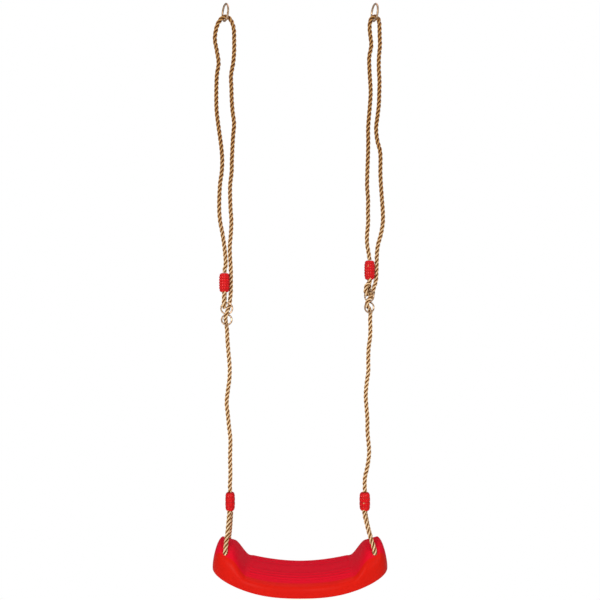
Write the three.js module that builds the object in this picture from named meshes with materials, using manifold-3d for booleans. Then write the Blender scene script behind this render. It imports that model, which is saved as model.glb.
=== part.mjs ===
// Flexible-looking moulded swing seat on two twisted ropes, hung by two steel rings.
// Millimetres, +Z up, +X to the sitter's left-hand rope as seen from the front, -Y is the front.
// The origin lies halfway between the points where the two rings rest on their hooks.
import * as THREE from "three";
import { mergeVertices } from "three/addons/utils/BufferGeometryUtils.js";
import Module from "manifold-3d";

const wasm = await Module();
wasm.setup();

// ---------------------------------------------------------------- driving dimensions

const RING_SPACING = 370; // hook to hook
const RING_WIRE = 5;
const RING_CENTRE_RADIUS = 20; // to the middle of the wire
const RING_TURN = { left: 26.5, right: 16.5 }; // degrees about Z, from square to the rope's bight

const ROPE_DIAMETER = 11;
const ROPE_SQUEEZED = 10; // where it is drawn through the adjuster
const ROPE_SIDES = 8;
const ROPE_STEP = 24; // length of one tube segment
const END_GAP = 0.4; // clearance between two pieces of one rope
const LEG_SPLAY = 1.8; // how far the seat loop's legs part sideways at the ferrule

const EIGHT_WIRE = 4;
const EIGHT_UPPER_RADIUS = 14; // to the middle of the wire
const EIGHT_LOWER_RADIUS = 12;
const EIGHT_UPPER_Z = 14.3; // centre of the upper eye above the waist's middle
const EIGHT_LOWER_Z = -14.9;

const FERRULE_LENGTH = 48;
const LOWER_FERRULE_LENGTH = 45.7;
const FERRULE_WIDE = 26.4;
const FERRULE_NARROW = 23.8;
const FERRULE_BANDS = 4;
const FERRULE_GROOVE = 0.9;

const SEAT_HALF_LENGTH = 215;
const SEAT_HALF_DEPTH = 86.5;
const SEAT_WAIST = 4.5; // how much narrower the middle is, per side
const SEAT_BOTTOM = -1435.6; // lowest point of the bottom edge
const SEAT_ARC = 504; // radius of the bottom edge seen from the front
const SEAT_HEIGHT = 36.5; // bottom edge to sitting surface
const EAR_RISE = 39; // how far the ears stand above the sitting surface
const EAR_FOOT = 128; // where the sitting surface turns up
const EAR_RUN = 37;
const EAR_CREST = 193; // where the ear starts to fall to the end
const EAR_FALL_POWER = 1.6;
const SEAT_WALL = 3.8;
const OUTLINE_POWER = 2.9;
const REAR_POWER = 6; // squareness of the cross-section behind the middle
const FRONT_POWER = 5; // and of the front
const EAR_POWER = 4.5;
const REAR_DROP = 0.055; // share of the height by which the surface has sunk at the rear edge
const FRONT_DROP = 0.165;
const EAR_REAR_DROP = 0.185;
const EAR_FRONT_DROP = 0.24;
const RIB_THICKNESS = 3;
const RIB_STANDBACK = 12; // the stiffening ribs stop this far above the bottom edge
const HOLE_DIAMETER = 13;
const HOLE_X = 180;
const HOLE_Y = 45;

// ---------------------------------------------------------------- materials

const paint = (name, color, roughness, metalness) =>
  Object.assign(new THREE.MeshStandardMaterial({ color, roughness, metalness }), { name });
const SEAT_PLASTIC = paint("seat_plastic", "#d41820", 0.45, 0);
const FERRULE_PLASTIC = paint("ferrule_plastic", "#e01418", 0.25, 0);
const HEMP = paint("rope_hemp", "#b98a50", 0.85, 0);
const STEEL = paint("bright_steel", "#b4aca4", 0.3, 1);

// ---------------------------------------------------------------- helpers

const group = new THREE.Group();
group.name = "rope_swing";

function add(name, geometry, material) {
  const mesh = new THREE.Mesh(geometry, material);
  mesh.name = name;
  group.add(mesh);
}

function toSolid(geometry) {
  const bare = new THREE.BufferGeometry();
  bare.setAttribute("position", geometry.getAttribute("position").clone());
  if (geometry.index) bare.setIndex(geometry.index.clone());
  const merged = mergeVertices(bare, 1e-4);
  return new wasm.Manifold(
    new wasm.Mesh({
      numProp: 3,
      vertProperties: new Float32Array(merged.attributes.position.array),
      triVerts: new Uint32Array(merged.index.array),
    }),
  );
}

function toGeometry(solid) {
  const mesh = solid.getMesh();
  const geometry = new THREE.BufferGeometry();
  geometry.setAttribute("position", new THREE.BufferAttribute(new Float32Array(mesh.vertProperties), 3));
  geometry.setIndex(new THREE.BufferAttribute(new Uint32Array(mesh.triVerts), 1));
  geometry.computeVertexNormals();
  return geometry;
}

const smoothstep = (t) => {
  const c = Math.min(Math.max(t, 0), 1);
  return c * c * (3 - 2 * c);
};
const mix = (a, b, t) => a + (b - a) * t;

// ---------------------------------------------------------------- top rings

for (const [side, sign] of [["left", -1], ["right", 1]]) {
  const ring = new THREE.TorusGeometry(RING_CENTRE_RADIUS, RING_WIRE / 2, 8, 32);
  ring.rotateY(Math.PI / 2);
  ring.rotateZ(THREE.MathUtils.degToRad(RING_TURN[side]));
  ring.translate((sign * RING_SPACING) / 2, 0, RING_WIRE / 2 - RING_CENTRE_RADIUS);
  add(`top_ring_${side}`, ring, STEEL);
}

// ---------------------------------------------------------------- rope routes, [x, y, z]
// Each side is one rope. Its sections share their end points:
//   short  from the upper ferrule up to the ring,
//   bight  over the ring's lower wire,
//   long   from the ring down past the ferrule,
//   weave  through the figure-8 adjuster,
//   lower  down to the lower ferrule,
//   loop   both legs of the seat loop and the piece beneath the seat.

const ROUTES = {
  left: {
    short: [
      [-187.2, 0, -662], [-186.4, 0, -654], [-184.4, 0, -645], [-184.2, 0, -632], [-185.2, 0, -618], [-187.7, 0, -594],
      [-192.4, 0, -563], [-198, 0, -533],
      [-200, 0, -503], [-198, 0, -443], [-193.8, 0, -413], [-192.6, 0, -383], [-194.6, 0, -353],
      [-202.7, 0, -293], [-206.2, 0, -263], [-207.2, 0, -233], [-205.7, 0, -173], [-201.5, 0, -143],
      [-205.7, 0, -113], [-210.7, 0, -83],
    ],
    bight: [
      [-210.7, 0, -83], [-206.9, 0, -56], [-201.5, 0, -42.1], [-192.5, 0, -31.3], [-183, 0, -28.2],
      [-173.5, 0, -33.5], [-166.5, 0, -47], [-163.5, 0, -63], [-163, 0, -83],
    ],
    long: [
      [-163, 0, -83], [-163, 0, -113], [-165.4, 0, -143], [-170.6, 0, -173], [-169.8, 0, -203],
      [-169, 0, -233], [-166.8, 0, -263], [-163.2, 0, -293], [-165.6, 0, -323], [-168.6, 0, -383],
      [-169.3, 0, -413], [-172.8, 0, -443], [-173, 0, -473], [-172, 0, -503], [-170, 0, -533],
      [-171, 0, -563], [-173.6, 0, -594], [-173.4, 0, -620],
    ],
    weave: [
      [-173.4, 0, -620], [-172.6, 5, -640], [-172.2, 10, -660], [-172.2, 10.4, -690], [-172.4, 10.2, -712],
      [-173.4, 9, -723], [-174.4, 8.2, -733], [-175, 7.6, -741], [-176, 4.5, -747], [-177.5, 0, -751.5],
      [-179, -4.5, -756], [-180.6, -7.9, -761.8], [-181.8, -8.5, -766], [-183.2, -7.8, -769.5],
      [-184.2, -4.6, -774.5], [-184.5, 0, -779], [-184.2, 4.6, -783.5], [-183.4, 7.8, -789],
      [-182.4, 7.8, -795], [-181, 5, -806],
    ],
    lower: [
      [-181, 5, -806], [-179.8, 1, -828], [-176.8, 0, -864], [-174.3, 0, -894], [-174.8, 0, -924],
      [-178.7, 0, -954], [-181.7, 0, -984], [-178.7, 0, -1014], [-175.8, 0, -1044], [-172.5, 0, -1074],
      [-173.2, 0, -1119], [-172.5, 0, -1164], [-173.6, 0, -1190], [-173, 0, -1204.4],
    ],
  },
  right: {
    short: [
      [172.3, 0, -630.9], [170, 0, -614], [166.4, 0, -592], [166, 0, -569], [168.6, 0, -539],
      [168.3, 0, -510], [168.6, 0, -481], [166.4, 0, -451], [166.6, 0, -422], [168.6, 0, -363],
      [169, 0, -334], [168.8, 0, -304], [173.3, 0, -246], [175, 0, -216], [172, 0, -157],
      [171.6, 0, -128], [176.6, 0, -99], [174.4, 0, -76],
    ],
    bight: [
      [174.4, 0, -76], [172.6, 0, -58], [173.2, 0, -44.6], [176.8, 0, -33.2], [185.2, 0, -28],
      [193.4, 0, -33.2], [196.4, 0, -44.6], [197, 0, -58], [197.4, 0, -76],
    ],
    long: [
      [197.4, 0, -76], [198, 0, -99], [195.6, 0, -128], [195.3, 0, -157], [196.8, 0, -187],
      [196.3, 0, -216], [195.3, 0, -246], [192, 0, -275], [188.6, 0, -304], [191.4, 0, -334],
      [198.5, 0, -363], [199.3, 0, -422], [203, 0, -481], [205, 0, -510], [205, 0, -539],
      [199.8, 0, -569], [193, 0, -594],
    ],
    weave: [
      [193, 0, -594], [190.8, 3, -616], [190.5, 6, -640], [190, 6.5, -660], [189.2, 6.5, -678],
      [186.5, 5, -690], [183, 3.4, -700], [181.4, 2.2, -708.5], [179.6, 0.2, -715.5], [176.4, -2.6, -721.2],
      [172.6, -5.2, -725.6], [168.2, -6.4, -730.6], [166.3, -6.6, -735.2], [165.4, -5.6, -739.2],
      [166.8, -2.6, -744], [169.6, 1.2, -748.6], [172.4, 4.9, -753.2], [174.9, 7.4, -758.6],
      [175.3, 7.2, -765], [174.2, 4.6, -776],
    ],
    lower: [
      [174.2, 4.6, -776], [174.4, 1.4, -796], [173.6, 0, -821], [170, 0, -848], [169, 0, -877],
      [169, 0, -907], [165, 0, -936], [162.8, 0, -966], [164.6, 0, -995], [166.8, 0, -1024],
      [167, 0, -1054], [171, 0, -1108], [166.8, 0, -1142], [160.6, 0, -1171], [160.4, 0, -1204.4],
    ],
  },
};

// The seat loop leaves the lower ferrule as two legs, front and rear: share of the way across
// from the ferrule to the hole, distance from the middle, height.
const LOOP_LEG = [
  [0, 5.9, -1252.3], [0.01, 6.1, -1256], [0.06, 8.4, -1263], [0.22, 15.2, -1277.5], [0.45, 25, -1297],
  [0.7, 34.8, -1314], [0.92, 42.6, -1327.5], [1, 45.2, -1335], [1, 45.2, -1349],
  [1, 42, -1356.5], [1, 34, -1360.5], [1, 17, -1361.5],
];
function loopRoute(ferruleX, holeX) {
  const leg = (side) => LOOP_LEG.map(([t, out, z]) => [mix(ferruleX + side * LEG_SPLAY, holeX, t), side * out, z]);
  return [...leg(-1), [holeX, 0, -1361.5], ...leg(1).reverse()];
}

// ---------------------------------------------------------------- ropes

// A stretch of a longer curve, between two of its parameters.
class Section extends THREE.Curve {
  constructor(parent, from, to) {
    super();
    Object.assign(this, { parent, from, to });
  }
  getPoint(t, target) {
    return this.parent.getPoint(mix(this.from, this.to, t), target);
  }
}

const ropeProfile = (diameter) =>
  new THREE.Shape(
    Array.from({ length: ROPE_SIDES }, (_, i) => {
      const a = ((i + 0.5) * 2 * Math.PI) / ROPE_SIDES;
      return new THREE.Vector2(Math.cos(a), Math.sin(a)).multiplyScalar(diameter / 2);
    }),
  );

function addRope(name, curve, step = ROPE_STEP, diameter = ROPE_DIAMETER) {
  const steps = Math.max(3, Math.round(curve.getLength() / step));
  const settings = { steps, extrudePath: curve, bevelEnabled: false };
  add(name, new THREE.ExtrudeGeometry(ropeProfile(diameter), settings), HEMP);
}

const toCurve = (points) =>
  new THREE.CatmullRomCurve3(points.map((p) => new THREE.Vector3(...p)), false, "centripetal");

const SECTION_STEP = { short: ROPE_STEP, bight: 9, long: ROPE_STEP, weave: 5.5, lower: ROPE_STEP };
const SECTION_NAME = {
  short: "loop_rope_short",
  bight: "bight_rope",
  long: "loop_rope_long",
  weave: "weave_rope",
  lower: "lower_rope",
};

for (const side of ["left", "right"]) {
  const order = Object.keys(ROUTES[side]);
  const points = order.flatMap((key, i) => ROUTES[side][key].slice(i ? 1 : 0));
  const whole = toCurve(points);
  let start = 0;
  for (const key of order) {
    const end = start + ROUTES[side][key].length - 1;
    const from = start / (points.length - 1);
    const to = end / (points.length - 1);
    // Half the gap comes off each shared end, none off the rope's own two ends.
    const trim = (t, dir) => {
      const speed = whole.getPoint(t).distanceTo(whole.getPoint(t + dir * 1e-4)) / 1e-4;
      return (dir * END_GAP) / 2 / speed;
    };
    const a = start === 0 ? from : from + trim(from, 1);
    const b = end === points.length - 1 ? to : to + trim(to, -1);
    const diameter = key === "weave" ? ROPE_SQUEEZED : ROPE_DIAMETER;
    addRope(`${SECTION_NAME[key]}_${side}`, new Section(whole, a, b), SECTION_STEP[key], diameter);
    start = end;
  }
}

addRope("seat_loop_rope_left", toCurve(loopRoute(-173, -HOLE_X)), 8);
addRope("seat_loop_rope_right", toCurve(loopRoute(160.4, HOLE_X)), 8);

// ---------------------------------------------------------------- figure-8 adjusters and their rope eyes

const EIGHTS = {
  left: { x: -181.5, z: -764.1, turn: 0, ferruleX: -187.2, ferruleBottom: -710.8, eye: -6 },
  right: { x: 171.5, z: -733.8, turn: -40, ferruleX: 172.3, ferruleBottom: -679.8, eye: -5 },
};

for (const [side, e] of Object.entries(EIGHTS)) {
  const upper = new THREE.TorusGeometry(EIGHT_UPPER_RADIUS, EIGHT_WIRE / 2, 8, 24);
  const lower = new THREE.TorusGeometry(EIGHT_LOWER_RADIUS, EIGHT_WIRE / 2, 8, 22);
  upper.translate(0, EIGHT_UPPER_Z, 0);
  lower.translate(0, EIGHT_LOWER_Z, 0);
  const eight = toGeometry(toSolid(upper).add(toSolid(lower)));
  eight.rotateX(Math.PI / 2);
  eight.rotateZ(THREE.MathUtils.degToRad(e.turn));
  eight.translate(e.x, 0, e.z);
  add(`adjuster_eight_${side}`, eight, STEEL);

  // The eye hangs over the upper wire, so it lies square to the adjuster's own plane.
  const wireZ = e.z + EIGHT_UPPER_Z + Math.sqrt(EIGHT_UPPER_RADIUS ** 2 - e.eye ** 2);
  const top = e.ferruleBottom - 1;
  const turn = THREE.MathUtils.degToRad(e.turn);
  const place = ([v, z]) => {
    const join = smoothstep((top - 3 - z) / 12); // straight out of the ferrule, then over to the wire
    const x = e.eye * Math.cos(turn) - v * Math.sin(turn) + e.x;
    const y = e.eye * Math.sin(turn) + v * Math.cos(turn);
    return [mix(e.ferruleX + v * 0.02, x, join), mix(v, y, join), z];
  };
  const leg = [[5.4, top], [5.4, top - 3], [5.7, top - 6], [7, top - 11], [8, wireZ + 2.5], [7.9, wireZ - 3.5], [4.6, wireZ - 8.6]];
  const eye = [
    ...leg.map(([v, z]) => place([-v, z])),
    place([0, wireZ - 10]),
    ...leg.map(([v, z]) => place([v, z])).reverse(),
  ];
  addRope(`eye_rope_${side}`, toCurve(eye), 5.5, ROPE_SQUEEZED);
}

// ---------------------------------------------------------------- ferrules

// A round barrel with shallow grooves round it, then pressed oval.
function ferrule(wideAcross) {
  const half = FERRULE_LENGTH / 2;
  const r = FERRULE_WIDE / 2;
  const profile = [[0, -half], [r - 4.5, -half], [r - 2.2, -half + 1], [r - 0.9, -half + 2.6]];
  const pitch = (FERRULE_LENGTH - 4) / FERRULE_BANDS;
  for (let i = 0; i < FERRULE_BANDS; i++) {
    const z = -half + 2 + i * pitch;
    profile.push([r - 0.15, z + 1.4], [r, z + pitch / 2], [r - 0.15, z + pitch - 1.4]);
    if (i < FERRULE_BANDS - 1) profile.push([r - FERRULE_GROOVE, z + pitch]);
  }
  profile.push([r - 0.9, half - 2.6], [r - 2.2, half - 1], [r - 4.5, half], [0, half]);
  const barrel = new THREE.LatheGeometry(profile.map(([x, y]) => new THREE.Vector2(x, y)), 20);
  barrel.rotateX(Math.PI / 2);
  const squeeze = FERRULE_NARROW / FERRULE_WIDE;
  barrel.scale(wideAcross ? 1 : squeeze, wideAcross ? squeeze : 1, 1);
  return barrel;
}

for (const [name, x, bottom, wideAcross] of [
  ["upper_ferrule_left", -187.2, -710.8, true],
  ["upper_ferrule_right", 172.3, -679.8, true],
  ["lower_ferrule_left", -173, -1251.1, false],
  ["lower_ferrule_right", 160.4, -1251.1, true],
]) {
  const barrel = ferrule(wideAcross);
  const length = name.startsWith("lower") ? LOWER_FERRULE_LENGTH : FERRULE_LENGTH;
  barrel.scale(1, 1, length / FERRULE_LENGTH);
  barrel.translate(x, 0, bottom + length / 2);
  add(name, barrel, FERRULE_PLASTIC);
}

// ---------------------------------------------------------------- seat

const bottomEdge = (x) => SEAT_BOTTOM + SEAT_ARC - Math.sqrt(SEAT_ARC ** 2 - x * x);
const earBlend = (x) => smoothstep((Math.abs(x) - EAR_FOOT) / EAR_RUN);

// Half the depth and the height of the cross-section at x, both drawn in by `inset`.
function halfDepth(x, inset) {
  const a = SEAT_HALF_LENGTH - inset;
  const waist = SEAT_WAIST * (1 - smoothstep(Math.abs(x) / 110));
  const ends = Math.max(0, 1 - Math.abs(x / a) ** OUTLINE_POWER) ** (1 / OUTLINE_POWER);
  return (SEAT_HALF_DEPTH - waist - inset) * ends;
}
function height(x, inset) {
  const run = SEAT_HALF_LENGTH - EAR_CREST;
  const over = Math.max(0, Math.abs(x) - (EAR_CREST - inset)) / run;
  const fall = Math.max(0, 1 - Math.min(over, 1) ** EAR_FALL_POWER) ** (1 / EAR_FALL_POWER);
  return (SEAT_HEIGHT + EAR_RISE * earBlend(x) - inset) * fall;
}

// A closed body under one skin of the seat: arched on top, and below either flat along the
// bottom edge or carried `below` under it, so that it can cut the shell open.
function seatBody(inset, below, topHeight = height) {
  const around = 28;
  const along = 40;
  const sphere = new THREE.SphereGeometry(1, around, along);
  const pos = sphere.getAttribute("position");
  for (let j = 0; j <= along; j++) {
    for (let i = 0; i <= around; i++) {
      const k = j * (around + 1) + i;
      const x = (SEAT_HALF_LENGTH - inset) * Math.sin((Math.PI / 2) * ((2 * j) / along - 1));
      const turn = (-2 * Math.PI * (i % around)) / around;
      const c = Math.cos(turn);
      const s = Math.sin(turn);
      const [flat, drop, earDrop] = c > 0 ? [REAR_POWER, REAR_DROP, EAR_REAR_DROP] : [FRONT_POWER, FRONT_DROP, EAR_FRONT_DROP];
      const power = mix(flat, EAR_POWER, earBlend(x));
      const across = Math.abs(c) ** (2 / power);
      const sunk = mix(drop, earDrop, earBlend(x)) * across ** 2;
      const y = halfDepth(x, inset) * Math.sign(c) * across;
      const up = topHeight(x, inset) * (1 - sunk) * Math.abs(s) ** (2 / power);
      const end = j === 0 || j === along;
      const z = bottomEdge(x) + (end ? 0 : s >= 0 ? up : below * s);
      pos.setXYZ(k, x, end ? 0 : y, z);
    }
  }
  const solid = toSolid(sphere);
  return solid;
}

const outer = seatBody(0, 0);
const inner = seatBody(SEAT_WALL, 8);
let seat = outer.subtract(inner);

// Stiffening ribs beneath, clear of the rope at both ends.
const clearance = seatBody(0.5, 8, () => RIB_STANDBACK);
const plate = (sx, sy, x, y) => toSolid(new THREE.BoxGeometry(sx, sy, 120).translate(x, y, SEAT_BOTTOM + 50));
for (const y of [-30, 30]) {
  const rib = plate(290, RIB_THICKNESS, 0, y);
  seat = seat.add(rib.intersect(outer).subtract(clearance));
}
for (const x of [-138, -92, -46, 0, 46, 92, 138]) {
  const rib = plate(RIB_THICKNESS, 180, x, 0);
  seat = seat.add(rib.intersect(outer).subtract(clearance));
}

for (const x of [-HOLE_X, HOLE_X]) {
  for (const y of [-HOLE_Y, HOLE_Y]) {
    const drill = new THREE.CylinderGeometry(HOLE_DIAMETER / 2, HOLE_DIAMETER / 2, 60, 20);
    seat = seat.subtract(toSolid(drill.rotateX(Math.PI / 2).translate(x, y, -1345)));
  }
}
add("seat_shell", toGeometry(seat), SEAT_PLASTIC);

export default group;
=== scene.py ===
"""A moulded swing seat hung on two twisted ropes, with crimped ferrules, wire
figure-8 adjusters and steel hanging rings.

Everything is in metres: +Z up, +X from the left rope to the right one, -Y out of the
front of the seat, and the origin midway between the hooks. Surfaces are functions of
two parameters worked out on numpy grids, and ropes are a lobed profile carried along
their routes.
"""

import logging
import math
from dataclasses import dataclass, field
from enum import Enum

import bmesh
import bpy
import numpy as np
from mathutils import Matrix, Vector


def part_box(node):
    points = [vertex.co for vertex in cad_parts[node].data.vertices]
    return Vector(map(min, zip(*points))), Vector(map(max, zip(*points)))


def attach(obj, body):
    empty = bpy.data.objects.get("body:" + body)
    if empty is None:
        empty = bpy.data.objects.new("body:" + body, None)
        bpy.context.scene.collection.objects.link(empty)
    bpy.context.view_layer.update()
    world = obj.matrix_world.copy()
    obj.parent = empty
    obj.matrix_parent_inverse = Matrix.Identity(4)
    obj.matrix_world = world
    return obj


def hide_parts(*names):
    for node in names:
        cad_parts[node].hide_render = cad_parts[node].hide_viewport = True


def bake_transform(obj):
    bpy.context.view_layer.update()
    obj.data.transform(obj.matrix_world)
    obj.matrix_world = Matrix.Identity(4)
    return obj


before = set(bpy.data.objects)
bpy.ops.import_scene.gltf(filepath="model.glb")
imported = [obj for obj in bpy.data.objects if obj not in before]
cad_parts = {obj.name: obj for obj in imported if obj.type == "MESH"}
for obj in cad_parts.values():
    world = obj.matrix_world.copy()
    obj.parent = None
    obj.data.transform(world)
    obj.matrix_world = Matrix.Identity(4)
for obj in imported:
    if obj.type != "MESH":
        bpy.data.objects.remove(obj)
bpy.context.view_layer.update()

LOG = logging.getLogger("rope_swing")
MM = 0.001
TAU = 2 * math.pi
Array = np.ndarray
Point = tuple[float, float, float]
Colour = tuple[float, float, float, float]
Socket = bpy.types.NodeSocket

# Where most of a noise texture's values lie.
NOISE_LOW, NOISE_HIGH = 0.3, 0.7
# A Mix node's colour sockets, which come after its number and vector ones.
MIX_A, MIX_B, MIX_RESULT = 6, 7, 2


class Slot(Enum):
    """Names of the material slots."""

    SEAT = "seat_plastic"
    FERRULE = "ferrule_plastic"
    ROPE = "rope_hemp"
    STEEL = "bright_steel"


# ---------------------------------------------------------------- meshes from grids


def smoothstep(t: Array) -> Array:
    """Ease from 0 to 1: 3t squared less 2t cubed, held at 0 and 1 outside.

    Args:
        t: Values to ease.

    Returns:
        The eased values.
    """
    c = np.clip(t, 0.0, 1.0)
    return c * c * (3 - 2 * c)


def grid_faces(rows: int, columns: int, wrap_rows: bool) -> Array:
    """Corner indices of the quads of a grid whose columns close on themselves.

    Args:
        rows: Number of rings.
        columns: Points in each ring.
        wrap_rows: Whether the last ring joins the first.

    Returns:
        One row of four indices per quad.
    """
    i = np.arange(rows if wrap_rows else rows - 1)[:, None]
    j = np.arange(columns)[None, :]
    after_i, after_j = (i + 1) % rows, (j + 1) % columns
    quads = [
        i * columns + j,
        i * columns + after_j,
        after_i * columns + after_j,
        after_i * columns + j,
    ]
    return np.stack([np.broadcast_to(q, (len(i), columns)).ravel() for q in quads], axis=1)


def signed_volume(points: Array, quads: Array) -> float:
    """Six times the volume inside the quads, negative if they face inwards.

    Args:
        points: Vertices.
        quads: Corner indices.

    Returns:
        The sum of each half quad's triple product.
    """
    a, b, c, d = (points[quads[:, k]] for k in range(4))
    first = np.einsum("ij,ij->i", a, np.cross(b, c))
    second = np.einsum("ij,ij->i", a, np.cross(c, d))
    return float((first + second).sum())


def mesh_from_grid(
    name: str,
    grid: Array,
    wrap_rows: bool = False,
    caps: bool = False,
    attributes: dict[str, Array] | None = None,
) -> bpy.types.Object:
    """Put a grid of points into a new mesh object, facing outwards.

    Args:
        name: The object's name.
        grid: Points as rings by columns by 3.
        wrap_rows: Whether the last ring joins the first.
        caps: Whether both end rings are closed with a fan.
        attributes: Attributes by name, one number or one vector per grid point.

    Returns:
        The object, linked to the scene.
    """
    rows, columns = grid.shape[:2]
    points = grid.reshape(-1, 3)
    quads = grid_faces(rows, columns, wrap_rows)
    if signed_volume(points, quads) < 0:
        quads = quads[:, ::-1]
        first_fan, last_fan = (0, 1), (1, 0)
    else:
        first_fan, last_fan = (1, 0), (0, 1)
    fans = np.empty((0, 3), int)
    if caps:
        j = np.arange(columns)
        ring = np.stack([j, (j + 1) % columns], axis=1)
        centre = len(points)
        first = np.column_stack([ring[:, first_fan], np.full(columns, centre)])
        last_ring = ring[:, last_fan] + (rows - 1) * columns
        last = np.column_stack([last_ring, np.full(columns, centre + 1)])
        fans = np.vstack([first, last])
        points = np.vstack([points, grid[0].mean(0), grid[-1].mean(0)])
    corners = np.concatenate([quads.ravel(), fans.ravel()]).astype(np.int32)
    totals = np.concatenate([np.full(len(quads), 4), np.full(len(fans), 3)]).astype(np.int32)
    starts = (np.cumsum(totals) - totals).astype(np.int32)
    mesh = bpy.data.meshes.new(name)
    mesh.vertices.add(len(points))
    mesh.vertices.foreach_set("co", points.astype(np.float32).ravel())
    mesh.loops.add(len(corners))
    mesh.loops.foreach_set("vertex_index", corners)
    mesh.polygons.add(len(totals))
    mesh.polygons.foreach_set("loop_start", starts)
    for label, values in (attributes or {}).items():
        wide = values.reshape(rows * columns, -1)
        if caps:
            rings = values.reshape(rows, columns, -1)
            wide = np.vstack([wide, rings[0].mean(0), rings[-1].mean(0)])
        kind, key = ("FLOAT", "value") if wide.shape[1] == 1 else ("FLOAT_VECTOR", "vector")
        layer = mesh.attributes.new(label, kind, "POINT")
        layer.data.foreach_set(key, wide.astype(np.float32).ravel())
    mesh.update(calc_edges=True)
    mesh.validate()
    mesh.shade_smooth()
    made = bpy.data.objects.new(name, mesh)
    bpy.context.scene.collection.objects.link(made)
    return made


def weld(piece: bpy.types.Object, distance: float = 1e-6) -> None:
    """Merge a piece's coincident vertices, as where a grid closes at a pole.

    Args:
        piece: The mesh object.
        distance: Vertices nearer than this become one.
    """
    work = bmesh.new()
    work.from_mesh(piece.data)
    bmesh.ops.remove_doubles(work, verts=work.verts, dist=distance)
    bmesh.ops.dissolve_degenerate(work, edges=work.edges, dist=distance)
    work.to_mesh(piece.data)
    work.free()


def apply_modifiers(piece: bpy.types.Object) -> None:
    """Replace a piece's mesh by what its modifiers make of it.

    Args:
        piece: The mesh object.
    """
    evaluated = piece.evaluated_get(bpy.context.evaluated_depsgraph_get())
    made = bpy.data.meshes.new_from_object(evaluated)
    piece.modifiers.clear()
    piece.data = made


def dress(
    piece: bpy.types.Object, material: bpy.types.Material, body: str, node: str
) -> None:
    """Give a finished hard piece its material, hide the CAD node that it stands for and
    attach it to the body that it rides on.

    Args:
        piece: The mesh object.
        material: Its material.
        body: The body that it moves with.
        node: The CAD node that it stands for.
    """
    piece.data.materials.append(material)
    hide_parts(node)
    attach(piece, body)
    LOG.info("%s built with %d faces", piece.name, len(piece.data.polygons))


# ---------------------------------------------------------------- shader building


class Nodes:
    """A short hand for filling one node tree."""

    def __init__(self, tree: bpy.types.NodeTree) -> None:
        """Take the tree and empty it.

        Args:
            tree: The node tree to fill.
        """
        self.tree = tree
        tree.nodes.clear()

    def add(self, kind: str, **settings: object) -> bpy.types.Node:
        """Add a node and set its properties.

        Args:
            kind: The node's type name.
            settings: Properties to set on it.

        Returns:
            The new node.
        """
        node = self.tree.nodes.new(kind)
        for key, value in settings.items():
            setattr(node, key, value)
        return node

    def join(self, source: object, target: object) -> None:
        """Link an output socket, or set a plain value, into an input socket.

        Args:
            source: An output socket, a number or a tuple.
            target: The input socket.
        """
        if isinstance(source, Socket):
            self.tree.links.new(source, target)
        else:
            target.default_value = source

    def math(self, operation: str, a: object, b: object = 0.0, c: object = None) -> Socket:
        """Add a Math node.

        Args:
            operation: Its operation.
            a: First operand.
            b: Second operand.
            c: Third operand, where the operation has one.

        Returns:
            Its output.
        """
        node = self.add("ShaderNodeMath", operation=operation)
        operands = (a, b) if c is None else (a, b, c)
        for operand, socket in zip(operands, node.inputs):
            self.join(operand, socket)
        return node.outputs[0]

    def noise(
        self, vector: object, scale: object, detail: float = 3.0, rough: float = 0.55
    ) -> Socket:
        """Add a noise texture.

        Args:
            vector: Where it is read.
            scale: Its scale.
            detail: Its octaves.
            rough: Its roughness.

        Returns:
            Its factor, mostly from NOISE_LOW to NOISE_HIGH.
        """
        node = self.add("ShaderNodeTexNoise")
        self.join(vector, node.inputs["Vector"])
        self.join(scale, node.inputs["Scale"])
        node.inputs["Detail"].default_value = detail
        node.inputs["Roughness"].default_value = rough
        return node.outputs["Fac"]

    def stretch(
        self,
        value: object,
        low: float,
        high: float,
        to_low: float = 0.0,
        to_high: float = 1.0,
    ) -> Socket:
        """Add a clamped Map Range node with eased ends.

        Args:
            value: The value to map.
            low: Mapped to to_low.
            high: Mapped to to_high.
            to_low: Output at low.
            to_high: Output at high.

        Returns:
            Its output.
        """
        node = self.add("ShaderNodeMapRange", clamp=True, interpolation_type="SMOOTHSTEP")
        for socket, source in zip(node.inputs[:5], (value, low, high, to_low, to_high)):
            self.join(source, socket)
        return node.outputs[0]

    def ramp(self, factor: object, stops: tuple[tuple[float, Colour], ...]) -> Socket:
        """Add a colour ramp.

        Args:
            factor: Where it is read.
            stops: Positions and their colours.

        Returns:
            Its colour.
        """
        node = self.add("ShaderNodeValToRGB")
        band = node.color_ramp
        while len(band.elements) < len(stops):
            band.elements.new(0.5)
        for element, (position, colour) in zip(band.elements, stops):
            element.position, element.color = position, colour
        self.join(factor, node.inputs[0])
        return node.outputs[0]

    def mix(self, factor: object, a: object, b: object, blend: str = "MIX") -> Socket:
        """Add a colour Mix node.

        Args:
            factor: How much of b.
            a: First colour.
            b: Second colour.
            blend: Its blend type.

        Returns:
            Its colour.
        """
        node = self.add("ShaderNodeMix", data_type="RGBA", blend_type=blend)
        self.join(factor, node.inputs[0])
        self.join(a, node.inputs[MIX_A])
        self.join(b, node.inputs[MIX_B])
        return node.outputs[MIX_RESULT]

    def group(self, tree: bpy.types.NodeTree, **values: object) -> bpy.types.Node:
        """Place a node group with its own values.

        Args:
            tree: The group's tree.
            values: Its inputs by name, with underscores for spaces.

        Returns:
            The group node.
        """
        node = self.add("ShaderNodeGroup", node_tree=tree)
        for key, value in values.items():
            self.join(value, node.inputs[key.replace("_", " ")])
        return node

    def bump(self, height: object, distance: float, strength: float = 1.0) -> Socket:
        """Add a Bump node.

        Args:
            height: The height that it reads, 0 to 1.
            distance: What a height of 1 stands for, in metres.
            strength: Its strength.

        Returns:
            The bumped normal.
        """
        node = self.add("ShaderNodeBump")
        node.inputs["Strength"].default_value = strength
        node.inputs["Distance"].default_value = distance
        self.join(height, node.inputs["Height"])
        return node.outputs[0]


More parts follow.
